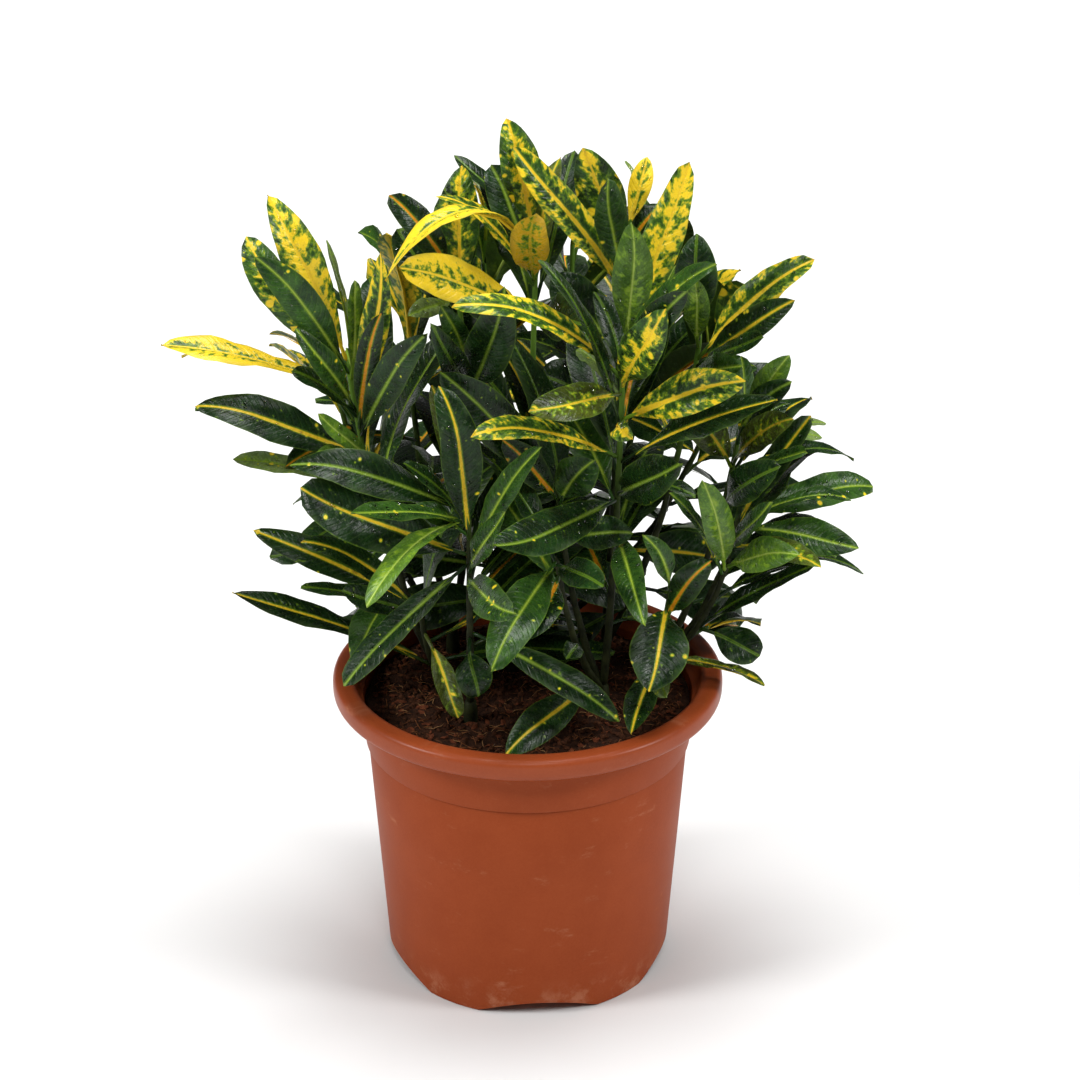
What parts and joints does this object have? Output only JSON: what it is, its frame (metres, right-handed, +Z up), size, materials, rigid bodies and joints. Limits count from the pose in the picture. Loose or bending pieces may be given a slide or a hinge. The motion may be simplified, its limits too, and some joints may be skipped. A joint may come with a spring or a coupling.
{
  "type": "potted croton",
  "caption": "Bushy potted houseplant with variegated leathery leaves on several leafy stems, in a round terracotta-coloured nursery pot filled with soil.",
  "frame": {"origin": "on the surface the pot stands on, under the pot's axis", "axes": "+Z up along the pot's axis; -Y faces the picture's viewer; +X to the viewer's right"},
  "size_m": [0.3689, 0.276, 0.4708],
  "materials": {
    "pot": "satin moulded plastic",
    "soil": "loose coir and bark compost",
    "leaf": "glossy leathery leaf"
  },
  "bodies": {
    "root": {"pot": "pot", "soil": "soil", "leafy_stem_1": "leaf", "leafy_stem_2": "leaf", "leafy_stem_3": "leaf", "leafy_stem_4": "leaf", "leafy_stem_5": "leaf", "leafy_stem_6": "leaf", "leafy_stem_7": "leaf", "leafy_stem_8": "leaf"}
  },
  "joints": []
}
